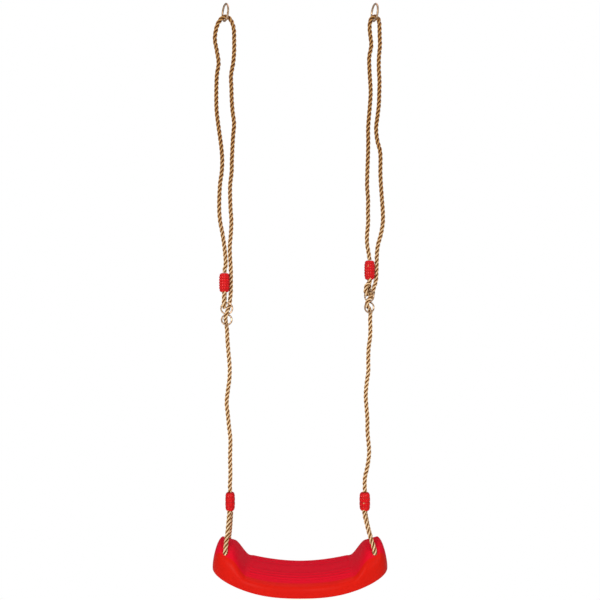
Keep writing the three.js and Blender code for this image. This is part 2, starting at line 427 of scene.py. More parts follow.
def new_group(
    name: str, inputs: dict[str, float | None], outputs: tuple[str, ...]
) -> tuple[bpy.types.NodeTree, Nodes, bpy.types.Node, bpy.types.Node]:
    """Start a shader node group.

    Args:
        name: The group's name.
        inputs: Its inputs with their defaults; None makes a vector.
        outputs: The names of its outputs, all numbers.

    Returns:
        The tree, its node helper, the input node and the output node.
    """
    tree = bpy.data.node_groups.new(name, "ShaderNodeTree")
    nodes = Nodes(tree)
    for label, value in inputs.items():
        kind = "NodeSocketVector" if value is None else "NodeSocketFloat"
        socket = tree.interface.new_socket(label, in_out="INPUT", socket_type=kind)
        if value is not None:
            socket.default_value = value
    for label in outputs:
        tree.interface.new_socket(label, in_out="OUTPUT", socket_type="NodeSocketFloat")
    return tree, nodes, nodes.add("NodeGroupInput"), nodes.add("NodeGroupOutput")


def grain_group() -> bpy.types.NodeTree:
    """Build the group for a moulded surface's fine grain and long soft unevenness.

    Returns:
        The group: Vector, Grain Scale and Wander Scale in; Height and Wander out.
    """
    tree, n, given, out = new_group(
        "moulded_grain",
        {"Vector": None, "Grain Scale": 900.0, "Wander Scale": 9.0},
        ("Height", "Wander"),
    )
    fine = n.noise(given.outputs["Vector"], given.outputs["Grain Scale"], 2.0, 0.5)
    wander = n.noise(given.outputs["Vector"], given.outputs["Wander Scale"], 3.0)
    n.join(n.stretch(fine, NOISE_LOW, NOISE_HIGH), out.inputs["Height"])
    n.join(n.stretch(wander, NOISE_LOW, NOISE_HIGH), out.inputs["Wander"])
    return tree


def yarn_group() -> bpy.types.NodeTree:
    """Build the group for the yarns and fibres of a laid rope.

    The pattern is read in the rope's own straightened space: the angle round the rope
    times the number of yarns gives each yarn, and noise drawn out along it the fibres.

    Returns:
        The group: Vector, Yarns and Skew in; Height, Tone and Patch out.
    """
    tree, n, given, out = new_group(
        "rope_yarns",
        {"Vector": None, "Yarns": 30.0, "Skew": 90.0},
        ("Height", "Tone", "Patch"),
    )
    fibre_scale, fibre_shrink, patch_scale = 2600.0, 0.12, 45.0
    yarn_height, fibre_height = 0.6, 0.4
    yarn_tone, fibre_tone = 0.35, 0.65
    patch_low, patch_high = 0.35, 0.65
    split = n.add("ShaderNodeSeparateXYZ")
    n.join(given.outputs["Vector"], split.inputs[0])
    x, y, z = split.outputs
    angle = n.math("ARCTAN2", y, x)
    lean = n.math("MULTIPLY", z, given.outputs["Skew"])
    wave = n.math("SINE", n.math("ADD", n.math("MULTIPLY", angle, given.outputs["Yarns"]), lean))
    yarn = n.math("MULTIPLY_ADD", wave, 0.5, 0.5)
    drawn = n.add("ShaderNodeCombineXYZ")
    n.join(x, drawn.inputs[0])
    n.join(y, drawn.inputs[1])
    n.join(n.math("MULTIPLY", z, fibre_shrink), drawn.inputs[2])
    threads = n.noise(drawn.outputs[0], fibre_scale, 3.0, 0.65)
    fibre = n.stretch(threads, NOISE_LOW, NOISE_HIGH)
    for label, of_yarn, of_fibre in (
        ("Height", yarn_height, fibre_height),
        ("Tone", yarn_tone, fibre_tone),
    ):
        parts = n.math("MULTIPLY", yarn, of_yarn), n.math("MULTIPLY", fibre, of_fibre)
        n.join(n.math("ADD", *parts), out.inputs[label])
    patch = n.noise(given.outputs["Vector"], patch_scale, 2.0)
    n.join(n.stretch(patch, patch_low, patch_high), out.inputs["Patch"])
    return tree


@dataclass(frozen=True)
class Finish:
    """What every finish shares: its name and slot."""

    name: str
    slot: Slot

    def start(self) -> tuple[bpy.types.Material, Nodes, bpy.types.Node]:
        """Make the material with its shader and output.

        Returns:
            The material, its node helper and its Principled BSDF.
        """
        material = bpy.data.materials.new(self.name)
        material.use_nodes = True
        nodes = Nodes(material.node_tree)
        shader = nodes.add("ShaderNodeBsdfPrincipled")
        nodes.join(shader.outputs[0], nodes.add("ShaderNodeOutputMaterial").inputs[0])
        return material, nodes, shader


@dataclass(frozen=True)
class MouldedPlastic(Finish):
    """Coloured moulded plastic that reads three attributes of the mesh.

    `grained` is 1 where the mould has a texture, and on the seat it also marks the top
    that is painted a lighter, bluer red as reflection; `sunk` is 1 at the bottom of
    pressed grooves, which take painted shade, and `pin` is 1 in the pits that the
    crimping pins leave.
    """

    colour: Colour = (0.68, 0.012, 0.005, 1.0)
    deep: Colour = (0.62, 0.009, 0.005, 1.0)
    painted_top_reflection: Colour = (0.76, 0.004, 0.021, 1.0)
    # Painted reflection: the lighter, bluer red that the seat's top is given for the sky's sheen.
    shaded: Colour = (0.30, 0.002, 0.003, 1.0)
    pin_colour: Colour = (0.60, 0.36, 0.16, 1.0)
    paints_top_reflection: bool = False
    deep_share: float = 0.7
    shaded_share: float = 0.5
    smooth: float = 0.34
    grained: float = 0.5
    wander_rough: float = 0.06
    specular: float = 0.05
    grain_depth: float = 0.00012
    grain_scale: float = 900.0
    smooth_grain: float = 0.15

    def build(self, grain: bpy.types.NodeTree) -> bpy.types.Material:
        """Make the material.

        Args:
            grain: The moulded grain group.

        Returns:
            The material.
        """
        material, n, shader = self.start()
        place = n.add("ShaderNodeTexCoord").outputs["Object"]
        mask = n.add("ShaderNodeAttribute", attribute_name="grained").outputs["Fac"]
        skin = n.group(grain, Vector=place, Grain_Scale=self.grain_scale)
        pin = n.add("ShaderNodeAttribute", attribute_name="pin").outputs["Fac"]
        low = n.add("ShaderNodeAttribute", attribute_name="sunk").outputs["Fac"]
        wander = skin.outputs["Wander"]
        even = n.mix(n.math("MULTIPLY", wander, self.deep_share), self.colour, self.deep)
        # On the seat the grained top takes the painted reflection colour.
        with_top_reflection = n.mix(mask, even, self.painted_top_reflection) if self.paints_top_reflection else even
        coloured = n.mix(n.math("MULTIPLY", low, self.shaded_share), with_top_reflection, self.shaded)
        marked = n.mix(n.stretch(pin, 0.3, 0.7), coloured, self.pin_colour)
        n.join(marked, shader.inputs["Base Color"])
        satin = n.stretch(mask, 0.0, 1.0, self.smooth, self.grained)
        rough = n.math("ADD", satin, n.math("MULTIPLY", wander, self.wander_rough))
        n.join(rough, shader.inputs["Roughness"])
        depth = n.stretch(mask, 0.0, 1.0, self.smooth_grain, 1.0)
        height = n.math("MULTIPLY", skin.outputs["Height"], depth)
        n.join(n.bump(height, self.grain_depth), shader.inputs["Normal"])
        shader.inputs["Specular IOR Level"].default_value = self.specular
        return material


@dataclass(frozen=True)
class LaidRope(Finish):
    """Golden brown synthetic hemp, with painted shade between the strands.

    It reads two attributes of the mesh: `crown`, 0 between the strands and 1 on them,
    which runs from painted shade to a painted highlight on the crowns, and `straight`,
    each point's place on the rope pulled straight. Higher up the rope is painted darker,
    as shade.
    """

    # From groove to crown: painted shade between the strands rising to a painted highlight on their
    # crowns.
    groove: Colour = (0.055, 0.016, 0.002, 1.0)
    flank_shade: Colour = (0.24, 0.085, 0.014, 1.0)
    body: Colour = (0.74, 0.40, 0.145, 1.0)
    crown: Colour = (1.0, 0.82, 0.54, 1.0)
    shade: Colour = (0.80, 0.66, 0.48, 1.0)
    # Painted shade: the rope is multiplied by this colour higher up, from the first height to the
    # second.
    upper_shade: Colour = (0.62, 0.48, 0.28, 1.0)
    shade_highlight_stops: tuple[float, float, float, float] = (0.16, 0.50, 0.78, 1.0)
    tone_share: float = 0.42
    patch_share: float = 0.4
    upper_shade_from_z: float = -0.85
    upper_shade_to_z: float = -0.25
    rough: tuple[float, float] = (0.62, 0.40)
    fibre_depth: float = 0.0005
    fibre_strength: float = 0.9
    specular: float = 0.22
    sheen: float = 0.03
    sheen_rough: float = 0.4
    sheen_tint: Colour = (1.0, 0.86, 0.66, 1.0)

    def build(self, yarns: bpy.types.NodeTree) -> bpy.types.Material:
        """Make the material.

        Args:
            yarns: The rope yarn group.

        Returns:
            The material.
        """
        material, n, shader = self.start()
        straight = n.add("ShaderNodeAttribute", attribute_name="straight").outputs["Vector"]
        crown = n.add("ShaderNodeAttribute", attribute_name="crown").outputs["Fac"]
        lay = n.group(yarns, Vector=straight)
        tone = n.math("SUBTRACT", lay.outputs["Tone"], 0.5)
        level = n.math("ADD", crown, n.math("MULTIPLY", tone, self.tone_share))
        # Strand height picks painted shade in the grooves and a painted highlight on the crowns.
        colours = (self.groove, self.flank_shade, self.body, self.crown)
        base = n.ramp(level, tuple(zip(self.shade_highlight_stops, colours)))
        patch = n.math("MULTIPLY", lay.outputs["Patch"], self.patch_share)
        patchy = n.mix(patch, base, self.shade, "MULTIPLY")
        place = n.add("ShaderNodeSeparateXYZ")
        n.join(n.add("ShaderNodeTexCoord").outputs["Object"], place.inputs[0])
        # Painted shade: darker and browner towards the top of the rope.
        high = n.stretch(place.outputs[2], self.upper_shade_from_z, self.upper_shade_to_z)
        n.join(n.mix(high, patchy, self.upper_shade, "MULTIPLY"), shader.inputs["Base Color"])
        n.join(n.stretch(lay.outputs["Tone"], 0.0, 1.0, *self.rough), shader.inputs["Roughness"])
        fibres = n.bump(lay.outputs["Height"], self.fibre_depth, self.fibre_strength)
        n.join(fibres, shader.inputs["Normal"])
        shader.inputs["Specular IOR Level"].default_value = self.specular
        shader.inputs["Sheen Weight"].default_value = self.sheen
        shader.inputs["Sheen Roughness"].default_value = self.sheen_rough
        shader.inputs["Sheen Tint"].default_value = self.sheen_tint
        return material


@dataclass(frozen=True)
class PlatedSteel(Finish):
    """Bright zinc-plated wire, a little warm and cloudy."""

    bright: Colour = (0.70, 0.49, 0.32, 1.0)
    dull: Colour = (0.28, 0.16, 0.08, 1.0)
    grain_scale: float = 2400.0
    wander_scale: float = 160.0
    grain_depth: float = 0.00004
    rough: tuple[float, float] = (0.2, 0.36)
    metallic: float = 0.6

    def build(self, grain: bpy.types.NodeTree) -> bpy.types.Material:
        """Make the material.

        Args:
            grain: The moulded grain group.

        Returns:
            The material.
        """
        material, n, shader = self.start()
        place = n.add("ShaderNodeTexCoord").outputs["Object"]
        scales = {"Grain_Scale": self.grain_scale, "Wander_Scale": self.wander_scale}
        skin = n.group(grain, Vector=place, **scales)
        wander = skin.outputs["Wander"]
        n.join(n.mix(wander, self.bright, self.dull), shader.inputs["Base Color"])
        n.join(n.stretch(wander, 0.0, 1.0, *self.rough), shader.inputs["Roughness"])
        n.join(n.bump(skin.outputs["Height"], self.grain_depth), shader.inputs["Normal"])
        shader.inputs["Metallic"].default_value = self.metallic
        return material


# ---------------------------------------------------------------- curves


def unit(vectors: Array) -> Array:
    """Vectors of length 1 in the same directions."""
    return vectors / np.linalg.norm(vectors, axis=1)[:, None]


def square_axes(tangent: Array, away: Array) -> tuple[Array, Array]:
    """Set two axes square to a line at each of its samples.

    The first is what is left of a fixed direction once its part along the line is taken
    off, and the second is square to both.

    Args:
        tangent: The line's unit directions.
        away: A direction never along the line.

    Returns:
        The two unit directions at each sample.
    """
    side = unit(away - (tangent @ away)[:, None] * tangent)
    return side, np.cross(tangent, side)


def catmull_rom(points: Array, per_span: int = 24) -> Array:
    """Sample a centripetal Catmull-Rom curve through the points.

    Each span is the cubic through its two points whose end slopes come from the
    neighbours, with the square root of each chord as the parameter's length. The first
    and last chords are carried one step on beyond the ends.

    Args:
        points: The points that it passes through.
        per_span: Samples in each span.

    Returns:
        The samples, ending on the last point.
    """
    ends = np.vstack([2 * points[0] - points[1], points, 2 * points[-1] - points[-2]])
    p0, p1, p2, p3 = ends[:-3], ends[1:-2], ends[2:-1], ends[3:]
    chords = np.sqrt(np.linalg.norm(np.diff(ends, axis=0), axis=1))[:, None]
    d0, d1, d2 = chords[:-2], chords[1:-1], chords[2:]
    t1 = ((p1 - p0) / d0 - (p2 - p0) / (d0 + d1) + (p2 - p1) / d1) * d1
    t2 = ((p2 - p1) / d1 - (p3 - p1) / (d1 + d2) + (p3 - p2) / d2) * d1
    t = (np.arange(per_span) / per_span)[None, :, None]
    c0, c1 = p1[:, None], t1[:, None]
    c2 = (-3 * p1 + 3 * p2 - 2 * t1 - t2)[:, None]
    c3 = (2 * p1 - 2 * p2 + t1 + t2)[:, None]
    spans = c0 + c1 * t + c2 * t**2 + c3 * t**3
    return np.vstack([spans.reshape(-1, 3), points[-1:]])


@dataclass
class RopeLine:
    """A rope's centreline with its running length."""

    samples: Array
    run: Array = field(init=False)

    def __post_init__(self) -> None:
        """Work out the running length."""
        steps = np.linalg.norm(np.diff(self.samples, axis=0), axis=1)
        self.run = np.concatenate([[0.0], np.cumsum(steps)])

    def at(self, run: Array) -> Array:
        """Points at given running lengths."""
        return np.stack([np.interp(run, self.run, self.samples[:, k]) for k in range(3)], axis=1)

    def run_near(self, point: Array) -> float:
        """Running length of the sample nearest to a point."""
        return float(self.run[np.argmin(np.linalg.norm(self.samples - point, axis=1))])


@dataclass
class LaidProfile:
    """Three round strands laid together, as one lobed surface.

    With the angle a taken from the nearest strand's crown, the radius is the outside of
    a circle of radius `strand` centred `offset` from the axis:
    offset * cos(a) + sqrt(strand^2 - offset^2 * sin(a)^2). The lobes turn once in each
    `lay` of running length.
    """

    radius: float = 5.5 * MM
    strand: float = 2.72 * MM
    lay: float = 36 * MM
    around: int = 36
    step: float = 1.35 * MM
    strands: int = 3
    slope_reach: float = 0.6 * MM
    least_steps: int = 4

    def piece(
        self, name: str, line: RopeLine, start: float, end: float, reference: Point
    ) -> bpy.types.Object:
        """Carry the profile along a stretch of a centreline.

        Args:
            name: The object's name.
            line: The centreline.
            start: Running length where the piece begins.
            end: Running length where it ends.
            reference: A direction never along the line, that the lobes are set out from.

        Returns:
            The rope piece, with its crown height and straightened place as attributes.
        """
        steps = max(self.least_steps, round((end - start) / self.step))
        run = np.linspace(start, end, steps + 1)
        centre = line.at(run)
        ahead = line.at(np.clip(run + self.slope_reach, 0, line.run[-1]))
        tangent = unit(ahead - line.at(np.clip(run - self.slope_reach, 0, line.run[-1])))
        side, other = square_axes(tangent, np.array(reference, float))
        turn = TAU * run[:, None] / self.lay
        lobe = np.arange(self.around)[None, :] * TAU / self.around
        third = TAU / self.strands
        nearest = (lobe + third / 2) % third - third / 2
        offset = self.radius - self.strand
        outside = np.sqrt(self.strand**2 - (offset * np.sin(nearest)) ** 2)
        radius = offset * np.cos(nearest) + outside
        angle = lobe + turn
        x, y = radius * np.cos(angle), radius * np.sin(angle)
        grid = centre[:, None] + x[..., None] * side[:, None] + y[..., None] * other[:, None]
        lowest = radius.min()
        # crown drives the rope's painted shade and painted highlight.
        crown = np.broadcast_to((radius - lowest) / (self.radius - lowest), x.shape)
        straight = np.stack([x, y, np.broadcast_to(run[:, None], x.shape)], axis=-1)
        attributes = {"crown": crown, "straight": straight}
        return mesh_from_grid(name, grid, caps=True, attributes=attributes)


# ---------------------------------------------------------------- sub-assemblies


def metres(*points: Point) -> Array:
    """Millimetre points as an array in metres."""
    return np.array(points, float) * MM


# One leg of a seat loop, from its ferrule to beneath the seat: the share of the way from
# the ferrule's X to the hole's, then the distance from the plane of the ropes and the
# height, in millimetres.
SEAT_LEG: Array = np.array([
    (0.0, 5.9, -1247.0), (0.01, 6.1, -1256.0), (0.06, 8.4, -1263.0), (0.22, 15.2, -1277.5),
    (0.45, 25.0, -1297.0), (0.7, 34.8, -1314.0), (0.92, 42.6, -1327.5), (1.0, 45.2, -1335.0),
    (1.0, 45.2, -1349.0), (1.0, 42.0, -1356.5), (1.0, 34.0, -1360.5), (1.0, 17.0, -1361.5),
])


@dataclass
class RopeRoute:
    """One side's rope, in sections that share their end points.

    They run from the upper ferrule up over the ring, down through the adjuster and on
    to the lower ferrule. The sections are in metres and the rest in millimetres.
    """

    short: Array
    bight: Array
    long: Array
    weave: Array
    lower: Array
    ring_x: float
    ferrule_x: float
    hole_x: float
    leg_splay: float = 1.8

    def main_line(self) -> RopeLine:
        """Centreline of the rope's main run."""
        parts = [self.short, self.bight[1:], self.long[1:], self.weave[1:], self.lower[1:]]
        return RopeLine(catmull_rom(np.vstack(parts)))

    def loop_line(self) -> RopeLine:
        """Lay the seat loop out: both legs and the part beneath the seat.

        Returns:
            Its centreline, from one leg's top to the other's.
        """
        share, depth, level = SEAT_LEG.T
        legs = []
        for side in (-1, 1):
            start = self.ferrule_x + side * self.leg_splay
            across = start + (self.hole_x - start) * share
            legs.append(np.stack([across, side * depth, level], axis=1))
        middle = np.array([[self.hole_x, 0.0, level[-1]]])
        return RopeLine(catmull_rom(np.vstack([legs[0], middle, legs[1][::-1]]) * MM))


ROUTES: dict[str, RopeRoute] = {
    "left": RopeRoute(
        short=metres(
            (-187.2, 0, -662), (-186.4, 0, -654), (-184.4, 0, -645), (-184.2, 0, -632),
            (-185.2, 0, -618), (-187.7, 0, -594), (-192.4, 0, -563), (-198, 0, -533),
            (-200, 0, -503), (-198, 0, -443), (-193.8, 0, -413), (-192.6, 0, -383),
            (-194.6, 0, -353), (-202.7, 0, -293), (-206.2, 0, -263), (-207.2, 0, -233),
            (-205.7, 0, -173), (-201.5, 0, -143), (-205.7, 0, -113), (-210.7, 0, -83),
        ),
        bight=metres(
            (-210.7, 0, -83), (-206.9, 0, -56), (-201.5, 0, -42.1), (-192.5, 0, -31.3),
            (-183, 0, -28.2), (-173.5, 0, -33.5), (-166.5, 0, -47), (-163.5, 0, -63),
            (-163, 0, -83),
        ),
        long=metres(
            (-163, 0, -83), (-163, 0, -113), (-165.4, 0, -143), (-170.6, 0, -173),
            (-169.8, 0, -203), (-169, 0, -233), (-166.8, 0, -263), (-163.2, 0, -293),
            (-165.6, 0, -323), (-168.6, 0, -383), (-169.3, 0, -413), (-172.8, 0, -443),
            (-173, 0, -473), (-172, 0, -503), (-170, 0, -533), (-171, 0, -563),
            (-173.6, 0, -594), (-173.4, 0, -620),
        ),
        weave=metres(
            (-173.4, 0, -620), (-172.6, 5, -640), (-172.2, 10, -660), (-172.2, 10.4, -690),
            (-172.4, 10.2, -712), (-173.4, 9, -723), (-174.4, 8.2, -733), (-175, 7.6, -741),
            (-176, 4.5, -747), (-177.5, 0, -751.5), (-179, -4.5, -756), (-180.6, -7.9, -761.8),
            (-181.8, -8.5, -766), (-183.2, -7.8, -769.5), (-184.2, -4.6, -774.5),
            (-184.5, 0, -779), (-184.2, 4.6, -783.5), (-183.4, 7.8, -789), (-182.4, 7.8, -795),
            (-181, 5, -806),
        ),
        lower=metres(
            (-181, 5, -806), (-179.8, 1, -828), (-176.8, 0, -864), (-174.3, 0, -894),
            (-174.8, 0, -924), (-178.7, 0, -954), (-181.7, 0, -984), (-178.7, 0, -1014),
            (-175.8, 0, -1044), (-172.5, 0, -1074), (-173.2, 0, -1119), (-172.5, 0, -1164),
            (-173.6, 0, -1190), (-173, 0, -1204.4),
        ),
        ring_x=-185,
        ferrule_x=-173,
        hole_x=-180,
    ),
    "right": RopeRoute(
        short=metres(
            (172.3, 0, -630.9), (170, 0, -614), (166.4, 0, -592), (166, 0, -569),
            (168.6, 0, -539), (168.3, 0, -510), (168.6, 0, -481), (166.4, 0, -451),
            (166.6, 0, -422), (168.6, 0, -363), (169, 0, -334), (168.8, 0, -304),
            (173.3, 0, -246), (175, 0, -216), (172, 0, -157), (171.6, 0, -128), (176.6, 0, -99),
            (174.4, 0, -76),
        ),
        bight=metres(
            (174.4, 0, -76), (172.6, 0, -58), (173.2, 0, -44.6), (176.8, 0, -33.2),
            (185.2, 0, -28), (193.4, 0, -33.2), (196.4, 0, -44.6), (197, 0, -58),
            (197.4, 0, -76),
        ),
        long=metres(
            (197.4, 0, -76), (198, 0, -99), (195.6, 0, -128), (195.3, 0, -157),
            (196.8, 0, -187), (196.3, 0, -216), (195.3, 0, -246), (192, 0, -275),
            (188.6, 0, -304), (191.4, 0, -334), (198.5, 0, -363), (199.3, 0, -422),
            (203, 0, -481), (205, 0, -510), (205, 0, -539), (199.8, 0, -569), (193, 0, -594),
        ),
        weave=metres(
            (193, 0, -594), (190.8, 3, -616), (190.5, 6, -640), (190, 6.5, -660),
            (189.2, 6.5, -678), (186.5, 5, -690), (183, 3.4, -700), (181.4, 2.2, -708.5),
            (179.6, 0.2, -715.5), (176.4, -2.6, -721.2), (172.6, -5.2, -725.6),
            (168.2, -6.4, -730.6), (166.3, -6.6, -735.2), (165.4, -5.6, -739.2),
            (166.8, -2.6, -744), (169.6, 1.2, -748.6), (172.4, 4.9, -753.2),
            (174.9, 7.4, -758.6), (175.3, 7.2, -765), (174.2, 4.6, -776),
        ),
        lower=metres(
            (174.2, 4.6, -776), (174.4, 1.4, -796), (173.6, 0, -821), (170, 0, -848),
            (169, 0, -877), (169, 0, -907), (165, 0, -936), (162.8, 0, -966), (164.6, 0, -995),
            (166.8, 0, -1024), (167, 0, -1054), (171, 0, -1108), (166.8, 0, -1142),
            (160.6, 0, -1171), (160.4, 0, -1204.4),
        ),
        ring_x=185,
        ferrule_x=160.4,
        hole_x=180,
    ),
}


@dataclass
class SideRopes:
    """All the rope pieces of one side, split where the rope crosses from body to body."""

    side: str
    route: RopeRoute
    profile: LaidProfile
    material: bpy.types.Material
    # Heights where the pieces meet, listed with the bodies on either side of each.
    bight_z: float = -0.036
    neck_z: float = -0.078
    hang_z: float = -0.165
    give_z: float = -0.185
    short_end_z: float = -0.6
    long_end_z: float = -0.58
    lower_run_z: tuple[float, float] = (-0.83, -1.19)
    seat_loop_z: tuple[float, float] = (-1.325, -1.345)
    # A step along a cord's path and the least number of steps.
    path_step: float = 4 * MM
    least_path: int = 12

    def declare(
        self, piece: bpy.types.Object, line: RopeLine, start: float, end: float, *nodes: str
    ) -> None:
        """Give a piece its material and hide the CAD nodes that it stands for.

        Args:
            piece: The rope piece.
            line: Its centreline; not used.
            start: Running length where it begins; not used.
            end: Running length where it ends; not used.
            nodes: The CAD nodes that it stands for.
        """
        piece.data.materials.append(self.material)
        if nodes:
            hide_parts(*nodes)

    def build_main(self) -> None:
        """Build the pieces from the upper ferrule round to the lower one."""
        side, route = self.side, self.route
        line = route.main_line()
        level = line.samples[:, 2]
        top = int(np.argmax(level))
        weave_start, weave_end = line.run_near(route.weave[0]), line.run_near(route.weave[-1])

        def crossing(z: float, rising: bool) -> float:
            """Running length where the line passes a level on its way up or down."""
            part = slice(0, top) if rising else slice(top, len(level))
            return float(line.run[part][np.argmin(np.abs(level[part] - z))])

        neck_up, neck_down = crossing(self.neck_z, True), crossing(self.neck_z, False)
        hang_up, hang_down = crossing(self.hang_z, True), crossing(self.hang_z, False)
        loop, adjuster, run = f"{side}_loop", f"{side}_adjuster", f"{side}_run"
        neck = ("carrier", loop, self.neck_z, self.hang_z)
        bight = ("rings", "carrier", self.bight_z, self.neck_z)
        short = (loop, adjuster, self.give_z, self.short_end_z)
        long = (loop, adjuster, self.give_z, self.long_end_z)
        lower = (adjuster, run, *self.lower_run_z)
        stretches = (
            ("loop_short", 0.0, hang_up, ("loop_rope_short",), short),
            ("neck_short", hang_up, neck_up, (), neck),
            ("bight", neck_up, neck_down, ("bight_rope",), bight),
            ("neck_long", neck_down, hang_down, (), neck),
            ("loop_long", hang_down, weave_start, ("loop_rope_long",), long),
            ("weave", weave_start, weave_end, ("weave_rope",), None),
            ("lower_run", weave_end, float(line.run[-1]), ("lower_rope",), lower),
        )
        for label, start, end, nodes, bend in stretches:
            name = f"rope_{label}_{side}"
            piece = self.profile.piece(name, line, start, end, (0.0, 1.0, 0.0))
            if bend is None:
                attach(piece, adjuster)
            else:
                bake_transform(piece)
            self.declare(piece, line, start, end, *(f"{node}_{side}" for node in nodes))

    def build_loop(self) -> None:
        """Build the seat loop; the left one stays where it is built and the right one rides on the
        right vee.
        """
        line = self.route.loop_line()
        name, end = f"rope_seat_loop_{self.side}", float(line.run[-1])
        piece = self.profile.piece(name, line, 0.0, end, (1.0, 0.0, 0.0))
        if self.side == "left":
            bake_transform(piece)
        else:
            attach(piece, "right_vee")
        self.declare(piece, line, 0.0, end, f"seat_loop_rope_{self.side}")


@dataclass
class TopRing:
    """A welded round wire ring, turned a little about the vertical."""

    side: str
    x: float
    turn: float
    material: bpy.types.Material
    wire: float = 2.5 * MM
    radius: float = 20 * MM
    # The weld's place on the ring, its height and how far round it and unevenly it swells.
    weld_at: float = math.radians(-20)
    weld_height: float = 0.35 * MM
    weld_spread: float = 0.07
    weld_lumps: float = 0.25

    def build(self) -> None:
        """Build the ring.

        A torus: the wire's circle carried round the ring's, swollen by a narrow bell
        curve at the weld, with three slight lumps round the wire.
        """
        around = np.linspace(0, TAU, 160, endpoint=False)[:, None]
        across = np.linspace(0, TAU, 28, endpoint=False)[None, :]
        off = (around - self.weld_at + math.pi) % TAU - math.pi
        bell = self.weld_height * np.exp(-((off / self.weld_spread) ** 2))
        wire = self.wire + bell * (1 + self.weld_lumps * np.cos(3 * across))
        reach = self.radius + wire * np.cos(across)
        u, z = reach * np.cos(around), reach * np.sin(around)
        v = wire * np.sin(across)
        # The ring's own plane holds Z and the direction turned from -Y towards +X.
        x = self.x + u * math.sin(self.turn) + v * math.cos(self.turn)
        y = -u * math.cos(self.turn) + v * math.sin(self.turn)
        grid = np.stack([x, y, z + self.wire - self.radius], axis=-1)
        piece = mesh_from_grid(f"hanging_ring_{self.side}", grid, wrap_rows=True)
        dress(piece, self.material, "rings", f"top_ring_{self.side}")


@dataclass
class FigureEight:
    """A figure-8 length adjuster bent from one closed wire that crosses at its waist."""

    side: str
    centre: Array
    turn: float
    material: bpy.types.Material
    wire: float = 2.0 * MM
    cross: float = 2.05 * MM
    upper_radius: float = 14.2 * MM
    lower_radius: float = 12.4 * MM
    reach_up: float = 28.0 * MM
    reach_down: float = 27.0 * MM

    def build(self) -> None:
        """Build the adjuster.

        The wire's centreline is an arc of each eye's circle, from tangent point to
        tangent point, joined by the two straight inner tangents, which cross at the
        waist; half a cosine carries the wire off its plane from one side to the other.
        """
        up, down = self.upper_radius, self.lower_radius
        top, bottom = self.reach_up - up, down - self.reach_down
        # The inner tangents lean by this much from the upright.
        lean = math.asin((up + down) / (top - bottom))
        a = np.linspace(-lean, math.pi + lean, 90)[:, None]
        upper = np.hstack([up * np.cos(a), top + up * np.sin(a)])
        lower = np.hstack([down * np.cos(a), bottom - down * np.sin(a)])
        share = np.linspace(0, 1, 24)[1:-1, None]
        down_leg = upper[-1] + share * (lower[0] - upper[-1])
        up_leg = lower[-1] + share * (upper[0] - lower[-1])
        path = np.vstack([upper, down_leg, lower, up_leg, upper[:1]])
        run = np.concatenate([[0.0], np.cumsum(np.linalg.norm(np.diff(path, axis=0), axis=1))])
        crossing = (run[len(upper)] + run[len(upper) + len(share)]) / 2
        even = np.linspace(0, run[-1], 240, endpoint=False)
        u, z = (np.interp(even, run, path[:, k]) for k in range(2))
        v = self.cross * np.cos(TAU * (even - crossing) / run[-1])
        c, s = math.cos(self.turn), math.sin(self.turn)
        line = np.stack([u * c - v * s, u * s + v * c, z], axis=1) + self.centre
        tangent = unit(np.roll(line, -1, 0) - np.roll(line, 1, 0))
        side, other = square_axes(tangent, np.array([-s, c, 0.0]))
        a = np.linspace(0, TAU, 20, endpoint=False)
        spoke = np.cos(a)[:, None] * side[:, None] + np.sin(a)[:, None] * other[:, None]
        grid = line[:, None] + self.wire * spoke
        piece = mesh_from_grid(f"figure_eight_{self.side}", grid, wrap_rows=True)
        node, body = f"adjuster_eight_{self.side}", f"{self.side}_adjuster"
        dress(piece, self.material, body, node)


@dataclass(frozen=True)
class EightPlace:
    """Where one figure-8 adjuster and the ferrule above it hang, in millimetres.

    `turn` is about the vertical and `across` is how far from its middle the rope's eye
    sits on the adjuster's upper wire.
    """

    centre: Point
    turn: float
    across: float
    ferrule_x: float
    ferrule_bottom: float


@dataclass
class RopeEye:
    """The rope's eye under the upper ferrule, hung round the adjuster's upper wire.

    Its sizes are in millimetres.
    """

    side: str
    place: EightPlace
    ropes: SideRopes
    # The upper wire's circle, and its centre above the adjuster's.
    upper_radius: float = 14.0
    upper_z: float = 14.3
    # Half the gap between the legs at stations below the ferrule and then at the wire.
    spread: tuple[float, ...] = (5.4, 5.4, 5.4, 5.7, 7.0, 8.0, 7.9, 4.6)
    below_ferrule: tuple[float, ...] = (-6.0, 1.0, 4.0, 7.0, 12.0)
    above_wire: tuple[float, ...] = (2.5, -3.5, -8.6)
    under_wire: float = 10.0
    # Where below the ferrule the legs begin to turn, and over what height.
    straight_below: float = 4.0
    turning: float = 12.0

    def build(self) -> None:
        """Build the eye: down one side of the wire, under it and up the other.

        The legs leave the ferrule one behind the other, and an eased turn brings them
        square to the wire.
        """
        place = self.place
        rise = math.sqrt(self.upper_radius**2 - place.across**2)
        wire_z = place.centre[2] + self.upper_z + rise
        spread = np.array(self.spread)
        near = place.ferrule_bottom - np.array(self.below_ferrule)
        level = np.concatenate([near, wire_z + np.array(self.above_wire)])
        v = np.concatenate([-spread, [0.0], spread[::-1]])
        z = np.concatenate([level, [wire_z - self.under_wire], level[::-1]])
        join = smoothstep((place.ferrule_bottom - self.straight_below - z) / self.turning)
        c, s = math.cos(place.turn), math.sin(place.turn)
        x = place.centre[0] + place.across * c - v * s
        y = place.across * s + v * c
        x, y = place.ferrule_x + (x - place.ferrule_x) * join, v + (y - v) * join
        line = RopeLine(catmull_rom(np.stack([x, y, z], axis=1) * MM))
        name, end = f"rope_eye_{self.side}", float(line.run[-1])
        piece = self.ropes.profile.piece(name, line, 0.0, end, (c, s, 0.0))
        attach(piece, f"{self.side}_adjuster")
        self.ropes.declare(piece, line, 0.0, end, f"eye_rope_{self.side}")


